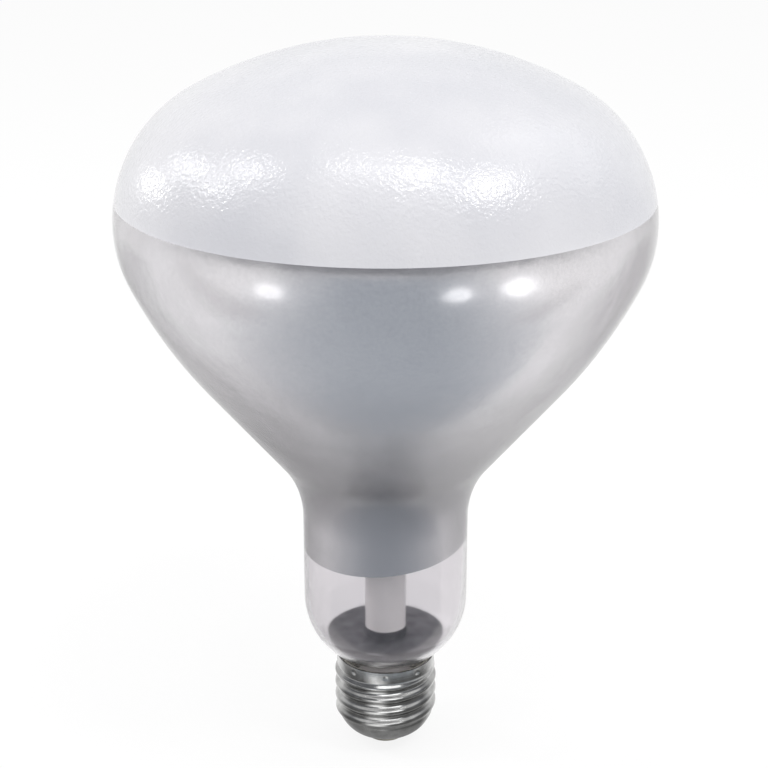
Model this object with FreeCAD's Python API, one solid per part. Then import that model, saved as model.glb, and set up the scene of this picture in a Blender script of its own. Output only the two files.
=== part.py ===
import FreeCAD, Part
import math
import os

# Infrared heat lamp: a blown reflector bulb with a clear neck, on a medium screw base.
# Millimetres. Z is the lamp's axis, from the tip of the end contact up to the crown of the face.

# End contact and insulator
solder_height = 0.5  # solder button below the eyelet's face
solder_diameter = 6.0
solder_flat_diameter = 2.6  # worn flat at the tip
eyelet_diameter = 10.8
eyelet_height = 2.2
eyelet_wall = 0.4
eyelet_corner = 0.8
eyelet_hole_diameter = 3.2
insulator_step = 1.1  # from the eyelet's rim up to the shell's lip
insulator_turn = 24.0  # degrees of the shell's bowl that the insulator fills
insulator_dish = 1.2  # hollow of the insulator's top
insulator_hole_diameter = 2.4
insulator_clearance = 0.02

# Screw shell: a rolled medium thread on thin sheet
shell_wall = 0.35
collar_diameter = 25.1  # also the middle of the thread's wave
collar_height = 2.7
thread_pitch = 3.629
thread_depth = 1.1
thread_crest_drop = 6.9  # from the rim down to a crest, on the +X side
thread_runout = 2.2
thread_end_height = 3.4  # from the lip up to the thread's lower end
shell_straight = 14.5
shell_bowl_radius = 8.5
shell_bowl_turn = 52.0
stake_count = 9
stake_ball_diameter = 2.4
stake_depth = 0.16
stake_drop = 1.35  # from the rim down to the middle of a stake mark
row_step = 0.45  # spacing of the thread surface's rows
column_count = 24

# Blown glass bulb, from its sealed end up to the face
glass_wall = 1.0
seal_depth = 10.5  # sealed end below the shell's rim
seal_diameter = 22.0
heel_start = 2.0  # where the sealed end begins to widen, below the rim
heel_hollow_radius = 4.26
heel_radius = 18.8
neck_diameter = 41.3
neck_straight = 22.2
throat_radius = 25.0
cone_angle = 39.4  # from the axis
bowl_radius = 118.2
bulge_angle = 24.7
bulge_radius = 29.2
widest_diameter = 127.0
shoulder_radius = 34.0
crown_radius = 96.8

# Reflecting coating inside the bulb
coating_thickness = 0.2
coating_rise = 6.1  # upper edge above the widest ring
coating_drop = 15.7  # lower edge above the bottom of the neck, on the axis
coating_tilt_right = 4.9  # the lower edge rises to +X by this angle
coating_tilt_back = 4.1  # and to +Y by this one

# Stem and its press
stem_diameter = 10.4
stem_wall = 1.0
lip_height = 2.0
flare_length = 10.5
stem_length = 31.0
stem_roof = 1.0  # glass between the stem's bore and the press
press_taper = 6.0
press_height = 9.0
press_width = 13.0
press_thickness = 4.4

# Exhaust tube, tipped off inside the base
exhaust_diameter = 4.4
exhaust_wall = 0.9
exhaust_sink = 2.0  # into the press's taper
exhaust_tip_drop = 2.0  # tip below the bulb's sealed end
riser_diameter = 2.4  # bore that goes on from the tube into the press
riser_height = 3.0
vent_diameter = 1.8  # side hole out of the riser

# Heat shield round the stem
shield_rise = 3.2  # above the flare
shield_sheet = 0.3
shield_gap = 0.25
shield_collar_height = 2.5
shield_clearance = 0.05

# Wires
lead_spacing = 6.4
seal_wire_diameter = 0.9
inner_lead_diameter = 1.2
inner_lead_rise = 8.0
inner_lead_post = 6.0
inner_lead_bend = 4.0
outer_lead_diameter = 0.5
outer_lead_bend = 1.2
centre_lead_turn = 4.3  # height over which the centre lead comes to the axis
side_lead_turn = 4.0  # below the flare's top, where the side lead leaves its straight run
side_lead_drop = 2.2  # below the bulb's sealed end
side_lead_reach = 7.0  # to the back, as the side lead passes the seal
side_lead_proud = 0.2

# Filament, its rod and its supports
arbor_diameter = 3.0
arbor_length = 24.0
button_diameter = 6.0
button_height = 4.0
filament_diameter = 28.0
filament_coil_diameter = 1.6
filament_height = 38.0  # above the press
filament_gap_angle = 80.0  # open towards the front
support_count = 3
support_diameter = 0.5
support_clearance = 0.1
support_sink = 1.2
support_elbow_diameter = 18.0
support_elbow_rise = 3.0
support_bend = 3.0

# Cement and the side solder
cement_recess = 0.3
cement_clearance = 0.01
side_solder_diameter = 2.2


def vector(x, y, z):
    return FreeCAD.Vector(x, y, z)


def point(radius, height):
    return vector(radius, 0, height)


def line(start, end):
    return Part.LineSegment(start, end).toShape()


def arc(start, middle, end):
    return Part.Arc(start, middle, end).toShape()


def run(points):
    return [line(start, end) for start, end in zip(points, points[1:])]


def revolve(edges):
    face = Part.Face(Part.Wire(Part.__sortEdges__(edges)))
    return face.revolve(vector(0, 0, 0), vector(0, 0, 1), 360)


def cylinder(radius, bottom, top, x=0.0, y=0.0):
    return Part.makeCylinder(radius, top - bottom, vector(x, y, bottom))


def bent_wire(points, bend, diameter):
    """Round wire along straight runs that are joined by tangent arcs."""
    edges = []
    last = points[0]
    for before, corner, after in zip(points, points[1:], points[2:]):
        into = (before - corner).normalize()
        away = (after - corner).normalize()
        half = into.getAngle(away) / 2
        start = corner + into * (bend / math.tan(half))
        end = corner + away * (bend / math.tan(half))
        middle = corner + (into + away).normalize() * (bend / math.sin(half) - bend)
        edges.append(line(last, start))
        edges.append(arc(start, middle, end))
        last = end
    edges.append(line(last, points[-1]))
    section = Part.Wire(Part.makeCircle(diameter / 2, points[0], points[1] - points[0]))
    return Part.Wire(edges).makePipeShell([section], True, False)


# Heights of the base, from the contact's tip up
eyelet_face_z = solder_height
eyelet_rim_z = eyelet_face_z + eyelet_height
lip_z = eyelet_rim_z + insulator_step
shell_bowl_z = lip_z + shell_bowl_radius * math.sin(math.radians(shell_bowl_turn))
rim_z = shell_bowl_z + shell_straight
thread_bottom_z = lip_z + thread_end_height
thread_top_z = rim_z - collar_height

# Heights and angles of the bulb
seal_z = rim_z - seal_depth
skirt_z = rim_z - heel_start
seal_radius = seal_diameter / 2
neck_radius = neck_diameter / 2
widest_radius = widest_diameter / 2
heel_reach = heel_hollow_radius + heel_radius
heel_angle = math.acos(1 - (neck_radius - seal_radius) / heel_reach)
neck_bottom_z = skirt_z + heel_reach * math.sin(heel_angle)
neck_top_z = neck_bottom_z + neck_straight
cone = math.radians(cone_angle)
bulge = math.radians(bulge_angle)
cone_foot_radius = neck_radius + throat_radius * (1 - math.cos(cone))
cone_foot_z = neck_top_z + throat_radius * math.sin(cone)
bulge_foot_radius = widest_radius - bulge_radius * (1 - math.cos(bulge))
bowl_centre_radius = bulge_foot_radius - bowl_radius * math.cos(bulge)
cone_head_radius = bowl_centre_radius + bowl_radius * math.cos(cone)
cone_head_z = cone_foot_z + (cone_head_radius - cone_foot_radius) / math.tan(cone)
bowl_centre_z = cone_head_z + bowl_radius * math.sin(cone)
widest_z = bowl_centre_z + (bulge_radius - bowl_radius) * math.sin(bulge)
shoulder_centre_radius = widest_radius - shoulder_radius
crown_drop = math.sqrt((crown_radius - shoulder_radius) ** 2 - shoulder_centre_radius**2)
crown_centre_z = widest_z - crown_drop
shoulder_angle = math.atan2(crown_drop, shoulder_centre_radius)
overall_length = crown_centre_z + crown_radius

# The bulb's arcs from the sealed end up: centre, radius (negative where the outline is hollow),
# and the angles of the outward normal above the horizontal at both ends
bulb_arcs = [
    (seal_radius + heel_hollow_radius, skirt_z, -heel_hollow_radius, 0, -heel_angle),
    (neck_radius - heel_radius, neck_bottom_z, heel_radius, -heel_angle, 0),
    (neck_radius + throat_radius, neck_top_z, -throat_radius, 0, -cone),
    (bowl_centre_radius, bowl_centre_z, bowl_radius, -cone, -bulge),
    (widest_radius - bulge_radius, widest_z, bulge_radius, -bulge, 0),
    (shoulder_centre_radius, widest_z, shoulder_radius, 0, shoulder_angle),
    (0, crown_centre_z, crown_radius, shoulder_angle, math.pi / 2),
]


def bulb_skin(inset):
    """Edges from the sealed end up to the crown, inset from the outside of the glass."""
    edges = []
    last = point(seal_radius - inset, seal_z)
    for centre_radius, centre_z, radius, first, second in bulb_arcs:

        def on_arc(angle):
            reach = radius - inset
            return point(centre_radius + reach * math.cos(angle), centre_z + reach * math.sin(angle))

        start = on_arc(first)
        end = on_arc(second)
        if start.distanceToPoint(last) > 1e-6:
            edges.append(line(last, start))
        edges.append(arc(start, on_arc((first + second) / 2), end))
        last = end
    return edges


def heel_at(height, inset):
    """Radius of the glass at a height in the heel or the neck, inset from its outside."""
    turn_z = skirt_z + (heel_hollow_radius + inset) * math.sin(heel_angle)
    if height < turn_z:
        reach = heel_hollow_radius + inset
        return seal_radius + heel_hollow_radius - math.sqrt(reach**2 - (height - skirt_z) ** 2)
    reach = heel_radius - inset
    drop = max(neck_bottom_z - height, 0)
    return neck_radius - heel_radius + math.sqrt(reach**2 - drop**2)


def glass_block():
    """The bulb filled to its axis, for shaping what is packed round it."""
    foot = point(0, seal_z)
    axis = line(point(0, overall_length), foot)
    return revolve(bulb_skin(0) + [axis, line(foot, point(seal_radius, seal_z))])


def glass_bulb():
    end = line(point(seal_radius - glass_wall, seal_z), point(seal_radius, seal_z))
    crown = line(point(0, overall_length), point(0, overall_length - glass_wall))
    return revolve(bulb_skin(0) + bulb_skin(glass_wall) + [end, crown])


def reflector_coating():
    inner = glass_wall + coating_thickness
    end = line(point(seal_radius - inner, seal_z), point(seal_radius - glass_wall, seal_z))
    crown = line(point(0, overall_length - glass_wall), point(0, overall_length - inner))
    lining = revolve(bulb_skin(glass_wall) + bulb_skin(inner) + [end, crown])
    half = widest_diameter
    above_edge = Part.makeBox(2 * half, 2 * half, overall_length, vector(-half, -half, 0))
    above_edge.rotate(vector(0, 0, 0), vector(0, 1, 0), -coating_tilt_right)
    above_edge.rotate(vector(0, 0, 0), vector(1, 0, 0), coating_tilt_back)
    above_edge.translate(vector(0, 0, neck_bottom_z + coating_drop))
    below_top = Part.makeBox(2 * half, 2 * half, widest_z + coating_rise, vector(-half, -half, 0))
    return lining.common(below_top).common(above_edge)


# Stem heights
stem_radius = stem_diameter / 2
lip_radius = seal_radius - glass_wall
flare_bottom_z = seal_z + lip_height
flare_top_z = flare_bottom_z + flare_length
press_bottom_z = flare_top_z + stem_length
bore_top_z = press_bottom_z - stem_roof
taper_top_z = press_bottom_z + press_taper
press_top_z = taper_top_z + press_height
exhaust_radius = exhaust_diameter / 2
exhaust_top_z = press_bottom_z + exhaust_sink
exhaust_tip_z = seal_z - exhaust_tip_drop
lead_x = lead_spacing / 2


def stem_flare():
    turn = 2 * math.atan((lip_radius - stem_radius) / flare_length)
    flare_radius = flare_length / math.sin(turn)
    centre_radius = stem_radius + flare_radius

    def on_flare(reach, angle):
        return point(centre_radius - reach * math.cos(angle), flare_top_z - reach * math.sin(angle))

    outer = [on_flare(flare_radius, share * turn) for share in (1, 0.5, 0)]
    inner = [on_flare(flare_radius + stem_wall, share * turn) for share in (0, 0.5, 1)]
    edges = run([point(lip_radius, seal_z), outer[0]])
    edges.append(arc(*outer))
    press_radius = press_width / 2
    press = [point(stem_radius, press_bottom_z), point(press_radius, taper_top_z)]
    press += [point(press_radius, press_top_z), point(0, press_top_z), point(0, bore_top_z)]
    edges += run([outer[2]] + press + [point(stem_radius - stem_wall, bore_top_z), inner[0]])
    edges.append(arc(*inner))
    edges += run([inner[2], point(lip_radius - stem_wall, seal_z), point(lip_radius, seal_z)])
    pinch = [
        vector(-press_width, stem_radius, press_bottom_z),
        vector(-press_width, press_thickness / 2, taper_top_z),
        vector(-press_width, press_thickness / 2, press_top_z),
        vector(-press_width, press_width, press_top_z),
        vector(-press_width, press_width, press_bottom_z),
    ]
    back = Part.Face(Part.makePolygon(pinch + pinch[:1])).extrude(vector(2 * press_width, 0, 0))
    front = back.mirror(vector(0, 0, 0), vector(0, 1, 0))
    vent_z = exhaust_top_z + riser_height / 2
    vent = Part.makeCylinder(vent_diameter / 2, stem_diameter, point(0, vent_z), vector(0, -1, 0))
    riser = cylinder(riser_diameter / 2, exhaust_top_z, exhaust_top_z + riser_height)
    holes = [back, front, cylinder(exhaust_radius, bore_top_z, exhaust_top_z), riser, vent]
    for x in (-lead_x, lead_x):
        holes.append(cylinder(seal_wire_diameter / 2, bore_top_z, press_top_z, x))
    return revolve(edges).cut(holes)


def exhaust_tube():
    bore = exhaust_radius - exhaust_wall
    dome_z = exhaust_tip_z + exhaust_radius
    slant = math.sqrt(0.5)

    def dome(radius):
        edge = point(radius, dome_z)
        middle = point(radius * slant, dome_z - radius * slant)
        return arc(edge, middle, point(0, dome_z - radius))

    edges = [dome(exhaust_radius), dome(bore)]
    edges += run([point(0, exhaust_tip_z), point(0, dome_z - bore)])
    edges += run([point(bore, dome_z), point(bore, exhaust_top_z), point(exhaust_radius, exhaust_top_z)])
    edges += run([point(exhaust_radius, exhaust_top_z), point(exhaust_radius, dome_z)])
    return revolve(edges)


def heat_shield():
    bottom_z = flare_top_z + shield_rise
    top_z = bottom_z + shield_sheet
    inside = stem_radius + shield_clearance
    rim = heel_at(bottom_z, glass_wall) - shield_gap
    collar_z = bottom_z + shield_collar_height
    outline = [point(inside, bottom_z), point(rim, bottom_z), point(rim, top_z)]
    outline += [point(inside + shield_sheet, top_z), point(inside + shield_sheet, collar_z)]
    outline += [point(inside, collar_z), point(inside, bottom_z)]
    return revolve(run(outline))


# Filament heights
filament_radius = filament_diameter / 2
coil_radius = filament_coil_diameter / 2
filament_z = press_top_z + filament_height
arbor_top_z = press_top_z + arbor_length
button_z = arbor_top_z + button_height / 2
filament_sweep = 360 - filament_gap_angle
filament_start = filament_gap_angle / 2 - 90


def filament():
    circle = Part.makeCircle(coil_radius, point(filament_radius, filament_z), vector(0, 1, 0))
    coil = Part.Face(Part.Wire(circle))
    coil.rotate(vector(0, 0, 0), vector(0, 0, 1), filament_start)
    return coil.revolve(vector(0, 0, 0), vector(0, 0, 1), filament_sweep)


def filament_support(number):
    loop_radius = coil_radius + support_clearance + support_diameter / 2
    route = [
        point(button_diameter / 2 - support_sink, button_z),
        point(support_elbow_diameter / 2, button_z + support_elbow_rise),
        point(filament_radius, filament_z - loop_radius),
    ]
    arm = bent_wire(route, support_bend, support_diameter)
    centre = point(filament_radius, filament_z)
    loop = Part.makeTorus(loop_radius, support_diameter / 2, centre, vector(0, 1, 0))
    support = arm.fuse(loop).removeSplitter()
    turn = filament_start + filament_sweep * number / (support_count + 1)
    support.rotate(vector(0, 0, 0), vector(0, 0, 1), turn)
    return support


def arbor_rod(supports):
    radius = arbor_diameter / 2
    button_top_z = arbor_top_z + button_height
    low = point(radius, arbor_top_z)
    high = point(radius, button_top_z)
    edges = [arc(low, point(button_diameter / 2, button_z), high)]
    edges += run([high, point(0, button_top_z), point(0, press_top_z), point(radius, press_top_z), low])
    return revolve(edges).cut(supports)


def seal_wire(x):
    return cylinder(seal_wire_diameter / 2, bore_top_z, press_top_z, x)


def inner_lead(side):
    """Post beside one end of the filament; side is -1 on the left and 1 on the right."""
    beside = math.asin(inner_lead_diameter / 2 / filament_radius)
    turn = math.radians(filament_gap_angle / 2) - beside
    x = side * filament_radius * math.sin(turn)
    y = -filament_radius * math.cos(turn)
    route = [
        vector(side * lead_x, 0, press_top_z),
        vector(side * lead_x, 0, press_top_z + inner_lead_rise),
        vector(x, y, filament_z - inner_lead_post),
        vector(x, y, filament_z + coil_radius),
    ]
    return bent_wire(route, inner_lead_bend, inner_lead_diameter)


collar_radius = collar_diameter / 2
collar_inside = collar_radius - shell_wall
shell_bowl_inside = shell_bowl_radius - shell_wall


def centre_lead():
    turn_z = exhaust_tip_z - outer_lead_diameter
    route = [
        vector(-lead_x, 0, bore_top_z),
        vector(-lead_x, 0, turn_z),
        vector(0, 0, turn_z - centre_lead_turn),
        vector(0, 0, eyelet_face_z),
    ]
    return bent_wire(route, outer_lead_bend, outer_lead_diameter)


def side_lead():
    thread_inside = collar_inside - thread_depth / 2
    channel = (seal_radius + thread_inside) / 2
    end_z = rim_z + side_lead_proud
    rim_channel = (heel_at(end_z, 0) + collar_inside) / 2
    passing_z = seal_z - side_lead_drop
    route = [
        vector(lead_x, 0, bore_top_z),
        vector(lead_x, 0, flare_top_z - side_lead_turn),
        vector(lead_x / 2, side_lead_reach, passing_z),
        vector(0, channel, passing_z),
        vector(0, channel, thread_top_z),
        vector(0, rim_channel, end_z),
    ]
    return bent_wire(route, outer_lead_bend, outer_lead_diameter)


def thread_wave(angle, height):
    """Height of the rolled thread above its middle: crest and root are equal tangent arcs."""
    rise = thread_depth / 2
    quarter = thread_pitch / 4
    round_radius = (quarter**2 + rise**2) / (2 * rise)
    turns = (height - rim_z + thread_crest_drop) / thread_pitch - angle / (2 * math.pi)
    from_crest = abs(turns - round(turns)) * thread_pitch
    if from_crest < quarter:
        wave = rise - round_radius + math.sqrt(round_radius**2 - from_crest**2)
    else:
        from_root = thread_pitch / 2 - from_crest
        wave = round_radius - rise - math.sqrt(round_radius**2 - from_root**2)
    run_in = min(height - thread_bottom_z, thread_top_z - height) / thread_runout
    return wave * math.sin(math.pi / 2 * min(max(run_in, 0), 1)) ** 2


def shell_stations():
    """Radius, height and slope of the shell's middle line, from the rim down to the lip."""
    straight_rows = math.ceil(shell_straight / row_step)
    turn = math.radians(shell_bowl_turn)
    bowl_rows = math.ceil(shell_bowl_radius * turn / row_step)
    stations = []
    for row in range(straight_rows):
        stations.append((collar_radius, rim_z - shell_straight * row / straight_rows, 0.0))
    for row in range(bowl_rows + 1):
        slope = turn * row / bowl_rows
        radius = collar_radius - shell_bowl_radius * (1 - math.cos(slope))
        stations.append((radius, shell_bowl_z - shell_bowl_radius * math.sin(slope), slope))
    return stations


def shell_face(inset):
    """Smooth threaded surface, closed round the axis, inset from the outside of the shell."""
    step = 2 * math.pi / column_count
    swell = 3 / (2 + math.cos(step))  # poles stand outside the round that they make
    stations = shell_stations()
    poles = []
    for column in range(column_count):
        angle = step * column
        ring = []
        for radius, height, slope in stations:
            out = thread_wave(angle, height) - inset
            reach = (radius + out * math.cos(slope)) * swell
            low = height - out * math.sin(slope)
            ring.append(vector(reach * math.cos(angle), reach * math.sin(angle), low))
        poles.append(ring)
    degree = 3
    spans = len(stations) - degree
    row_repeats = [degree + 1] + [1] * (spans - 1) + [degree + 1]
    surface = Part.BSplineSurface()
    surface.buildFromPolesMultsKnots(
        poles,
        [1] * (column_count + 1),
        row_repeats,
        list(range(column_count + 1)),
        list(range(spans + 1)),
        True,
        False,
        degree,
        degree,
    )
    return surface.toShape()


def end_edges(face):
    """The two closed edges of a threaded surface, at the lip and at the rim."""
    rings = [edge for edge in face.Edges if edge.isClosed()]
    return sorted(rings, key=lambda edge: edge.BoundBox.ZMax)


def screw_shell():
    outside = shell_face(0)
    inside = shell_face(shell_wall)
    pairs = zip(end_edges(outside), end_edges(inside))
    ends = [Part.makeRuledSurface(outer, inner) for outer, inner in pairs]
    skin = Part.makeShell([outside, inside] + ends)
    skin.sewShape()
    shell = Part.makeSolid(skin)
    if shell.Volume < 0:
        shell.reverse()
    ball_radius = stake_ball_diameter / 2
    reach = collar_radius - stake_depth + ball_radius
    balls = []
    for number in range(stake_count):
        angle = 2 * math.pi * number / stake_count - math.pi / 2
        spot = vector(reach * math.cos(angle), reach * math.sin(angle), rim_z - stake_drop)
        balls.append(Part.makeSphere(ball_radius, spot))
    return shell.cut(balls)


def capping_cement(block, lead):
    top_z = rim_z - cement_recess
    ring = cylinder(collar_inside - cement_clearance, thread_top_z, top_z)
    return ring.cut([block, lead])


def eyelet_corner_arc(inset):
    """Rounded corner of the eyelet's cup, inset from its outside, from the face to the wall."""
    reach = eyelet_corner - inset
    centre_radius = eyelet_diameter / 2 - eyelet_corner
    centre_z = eyelet_face_z + eyelet_corner
    slant = reach * math.sqrt(0.5)
    return [
        point(centre_radius, centre_z - reach),
        point(centre_radius + slant, centre_z - slant),
        point(centre_radius + reach, centre_z),
    ]


def contact_eyelet():
    hole = eyelet_hole_diameter / 2
    radius = eyelet_diameter / 2
    floor_z = eyelet_face_z + eyelet_wall
    outer = eyelet_corner_arc(0)
    inner = eyelet_corner_arc(eyelet_wall)
    edges = [arc(*outer), arc(*inner)]
    rim = [point(radius, eyelet_rim_z), point(radius - eyelet_wall, eyelet_rim_z)]
    edges += run([outer[2]] + rim + [inner[2]])
    edges += run([inner[0], point(hole, floor_z), point(hole, eyelet_face_z), outer[0]])
    return revolve(edges)


def base_insulator():
    hole = insulator_hole_diameter / 2
    floor_z = eyelet_face_z + eyelet_wall
    inner = eyelet_corner_arc(eyelet_wall)
    reach = shell_bowl_inside - insulator_clearance
    low = math.radians(shell_bowl_turn)
    high = math.radians(shell_bowl_turn - insulator_turn)

    def on_bowl(slope):
        radius = collar_radius - shell_bowl_radius + reach * math.cos(slope)
        return point(radius, shell_bowl_z - reach * math.sin(slope))

    wall_top = on_bowl(high)
    dish_z = wall_top.z - insulator_dish
    edges = [arc(*inner), arc(on_bowl(low), on_bowl((low + high) / 2), wall_top)]
    rim = [point(eyelet_diameter / 2 - eyelet_wall, eyelet_rim_z), point(eyelet_diameter / 2, eyelet_rim_z)]
    edges += run([inner[2]] + rim + [on_bowl(low)])
    edges += run([wall_top, point(hole, dish_z), point(hole, floor_z), inner[0]])
    return revolve(edges)


def contact_solder(lead):
    hole = eyelet_hole_diameter / 2
    top_z = eyelet_face_z + eyelet_wall
    foot = point(solder_diameter / 2, eyelet_face_z)
    flat = point(solder_flat_diameter / 2, 0)
    middle = (foot + flat) / 2 + (foot - flat).cross(vector(0, 1, 0)).normalize() * (solder_height / 4)
    edges = [arc(foot, middle, flat)]
    edges += run([flat, point(0, 0), point(0, top_z), point(hole, top_z), point(hole, eyelet_face_z), foot])
    return revolve(edges).cut(lead)


def side_solder(block, lead):
    """Bead over the rim, on the outside of the collar and on the end of the side lead."""
    radius = side_solder_diameter / 2
    outward = vector(0, 1, 0)
    bead = Part.makeSphere(radius, outward * collar_radius + point(0, rim_z), outward)
    collar = cylinder(collar_radius, rim_z - 2 * radius, rim_z)
    return bead.cut(collar).cut(lead).cut(block)


os.makedirs("parts", exist_ok=True)
nodes = {}
nodes["glass_bulb"] = glass_bulb()
nodes["reflector_coating"] = reflector_coating()
nodes["stem_flare"] = stem_flare()
nodes["exhaust_tube"] = exhaust_tube()
nodes["heat_shield"] = heat_shield()
supports = [filament_support(number) for number in range(1, support_count + 1)]
nodes["arbor_rod"] = arbor_rod(supports)
for number, support in enumerate(supports, 1):
    nodes[f"filament_support_{number}"] = support
nodes["filament"] = filament()
for name, side in (("left", -1), ("right", 1)):
    nodes[f"seal_wire_{name}"] = seal_wire(side * lead_x)
    nodes[f"inner_lead_{name}"] = inner_lead(side)
nodes["centre_lead"] = centre_lead()
nodes["side_lead"] = side_lead()
nodes["screw_shell"] = screw_shell()
block = glass_block()
nodes["capping_cement"] = capping_cement(block, nodes["side_lead"])
nodes["base_insulator"] = base_insulator()
nodes["contact_eyelet"] = contact_eyelet()
nodes["contact_solder"] = contact_solder(nodes["centre_lead"])
nodes["side_solder"] = side_solder(block, nodes["side_lead"])
for name, shape in nodes.items():
    shape.exportStep(f"parts/{name}.step")
    print(name, len(shape.Solids), shape.isValid(), round(shape.Volume, 2))
print("overall length", round(overall_length, 2))
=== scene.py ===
import math

import bmesh
import bpy
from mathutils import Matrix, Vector


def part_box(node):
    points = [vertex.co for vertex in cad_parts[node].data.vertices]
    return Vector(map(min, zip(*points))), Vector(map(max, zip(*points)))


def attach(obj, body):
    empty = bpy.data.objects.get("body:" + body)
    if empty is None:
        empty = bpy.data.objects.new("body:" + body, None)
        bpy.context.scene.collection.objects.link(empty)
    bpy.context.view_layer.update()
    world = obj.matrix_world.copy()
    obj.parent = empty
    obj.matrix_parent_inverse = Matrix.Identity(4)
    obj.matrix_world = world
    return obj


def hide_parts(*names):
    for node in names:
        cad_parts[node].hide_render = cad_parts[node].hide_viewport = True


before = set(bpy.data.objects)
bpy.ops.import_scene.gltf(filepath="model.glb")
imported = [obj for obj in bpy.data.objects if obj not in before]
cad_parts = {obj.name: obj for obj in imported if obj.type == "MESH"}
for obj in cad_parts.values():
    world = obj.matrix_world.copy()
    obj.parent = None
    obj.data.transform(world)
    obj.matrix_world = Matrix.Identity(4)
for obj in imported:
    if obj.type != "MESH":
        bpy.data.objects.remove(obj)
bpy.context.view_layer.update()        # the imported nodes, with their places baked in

# Infrared heat lamp bulb: blown reflector glass with a mirror film, a stem mount and a rolled screw base.
# Lengths are in millimetres and angles in degrees.
# Lamp sizes and distances are in metres, and texture scales count per metre.
mm = 0.001
scene = bpy.context.scene
scene.view_settings.view_transform = "Standard"
print("frame loaded:", len(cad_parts), "nodes")


def feed(tree, socket, value):  # links a socket, sets anything else
    if isinstance(value, bpy.types.NodeSocket):
        tree.links.new(value, socket)
    else:
        socket.default_value = value


def put(tree, kind, inputs=None, **settings):
    node = tree.nodes.new(kind)
    for name, value in settings.items():
        setattr(node, name, value)
    for name, value in (inputs or {}).items():
        feed(tree, node.inputs[name], value)
    return node


def calc(tree, operation, *values):
    node = put(tree, "ShaderNodeMath", operation=operation)
    for socket, value in zip(node.inputs, values):
        feed(tree, socket, value)
    return node.outputs[0]


def rampBetween(tree, value, low, high, toLow=0.0, toHigh=1.0, kind="SMOOTHSTEP"):
    limits = {"From Min": low, "From Max": high, "To Min": toLow, "To Max": toHigh}
    ramp = put(tree, "ShaderNodeMapRange", {"Value": value, **limits}, interpolation_type=kind)
    return ramp.outputs["Result"]


def objectPlace(tree):
    return put(tree, "ShaderNodeTexCoord").outputs["Object"]


def splitAxes(tree, vector):
    return put(tree, "ShaderNodeSeparateXYZ", {"Vector": vector}).outputs


# Camera, fitted to the lamp's outline
cameraSet = {
    "place": (0.0, -381.2, 240.26),
    "pitch": 20.42,  # below the horizon
    "lens": 78.17,
    "sensor": 36.0,
    "shiftX": -0.00195,
}


def setCamera():
    data = bpy.data.cameras.new("photoCamera")
    data.lens = cameraSet["lens"]
    data.sensor_width = cameraSet["sensor"]
    data.shift_x = cameraSet["shiftX"]
    camera = bpy.data.objects.new("photoCamera", data)
    camera.location = Vector(cameraSet["place"]) * mm
    camera.rotation_euler = (math.radians(90 - cameraSet["pitch"]), 0, 0)
    scene.collection.objects.link(camera)
    scene.camera = camera


setCamera()
print("camera set")


# Shader groups that several finishes share
cloudSpread = (0.32, 0.68)  # part of the noise that fills the two levels
streakSpread = (0.3, 0.7)
grainFiner = 1.9  # noise of the grain, against its cells


def startGroup(name, inputs, output):
    tree = bpy.data.node_groups.new(name, "ShaderNodeTree")
    for socketName, value in inputs.items():
        socket = tree.interface.new_socket(socketName, in_out="INPUT", socket_type="NodeSocketFloat")
        socket.default_value = value
    tree.interface.new_socket(output, in_out="OUTPUT", socket_type="NodeSocketFloat")
    return tree, tree.nodes.new("NodeGroupInput").outputs, tree.nodes.new("NodeGroupOutput").inputs[output]


def cloudGroup():  # soft patches, spread between two levels
    inputs = {"Scale": 30.0, "Detail": 3.0, "Low": 0.0, "High": 1.0}
    tree, given, made = startGroup("softCloud", inputs, "Value")
    noise = put(tree, "ShaderNodeTexNoise", {"Vector": objectPlace(tree), "Scale": given["Scale"]})
    feed(tree, noise.inputs["Detail"], given["Detail"])
    value = rampBetween(tree, noise.outputs["Fac"], *cloudSpread, given["Low"], given["High"])
    tree.links.new(value, made)
    return tree


def stippleGroup():  # fine hammered grain of pressed or etched glass
    tree, given, made = startGroup("hammerGrain", {"Scale": 900.0, "Uneven": 0.5}, "Height")
    place = objectPlace(tree)
    cells = put(tree, "ShaderNodeTexVoronoi", {"Vector": place, "Scale": given["Scale"]}, feature="SMOOTH_F1")
    finer = calc(tree, "MULTIPLY", given["Scale"], grainFiner)
    noise = put(tree, "ShaderNodeTexNoise", {"Vector": place, "Scale": finer, "Detail": 2.0})
    mixed = put(tree, "ShaderNodeMix", {"Factor": given["Uneven"]})
    feed(tree, mixed.inputs["A"], cells.outputs["Distance"])
    feed(tree, mixed.inputs["B"], noise.outputs["Fac"])
    tree.links.new(mixed.outputs["Result"], made)
    return tree


def streakGroup():  # fine lines round the axis, from rolling and turning
    inputs = {"Across": 60.0, "Along": 3000.0, "Low": 0.0, "High": 1.0}
    tree, given, made = startGroup("rolledLines", inputs, "Value")
    axes = splitAxes(tree, objectPlace(tree))
    stretched = put(tree, "ShaderNodeCombineXYZ")
    for axis, scale in (("X", "Across"), ("Y", "Across"), ("Z", "Along")):
        feed(tree, stretched.inputs[axis], calc(tree, "MULTIPLY", axes[axis], given[scale]))
    noise = put(tree, "ShaderNodeTexNoise", {"Vector": stretched.outputs[0], "Scale": 1.0, "Detail": 4.0})
    value = rampBetween(tree, noise.outputs["Fac"], *streakSpread, given["Low"], given["High"], "LINEAR")
    tree.links.new(value, made)
    return tree


softCloud = cloudGroup()
hammerGrain = stippleGroup()
rolledLines = streakGroup()


def startFinish(name):
    material = bpy.data.materials.new(name)
    material.use_nodes = True
    tree = material.node_tree
    return material, tree, tree.nodes["Principled BSDF"]


def field(tree, group, **values):  # places a shared group with its own values
    node = put(tree, "ShaderNodeGroup", node_tree=group)
    for name, value in values.items():
        feed(tree, node.inputs[name], value)
    return node.outputs[0]


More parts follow.
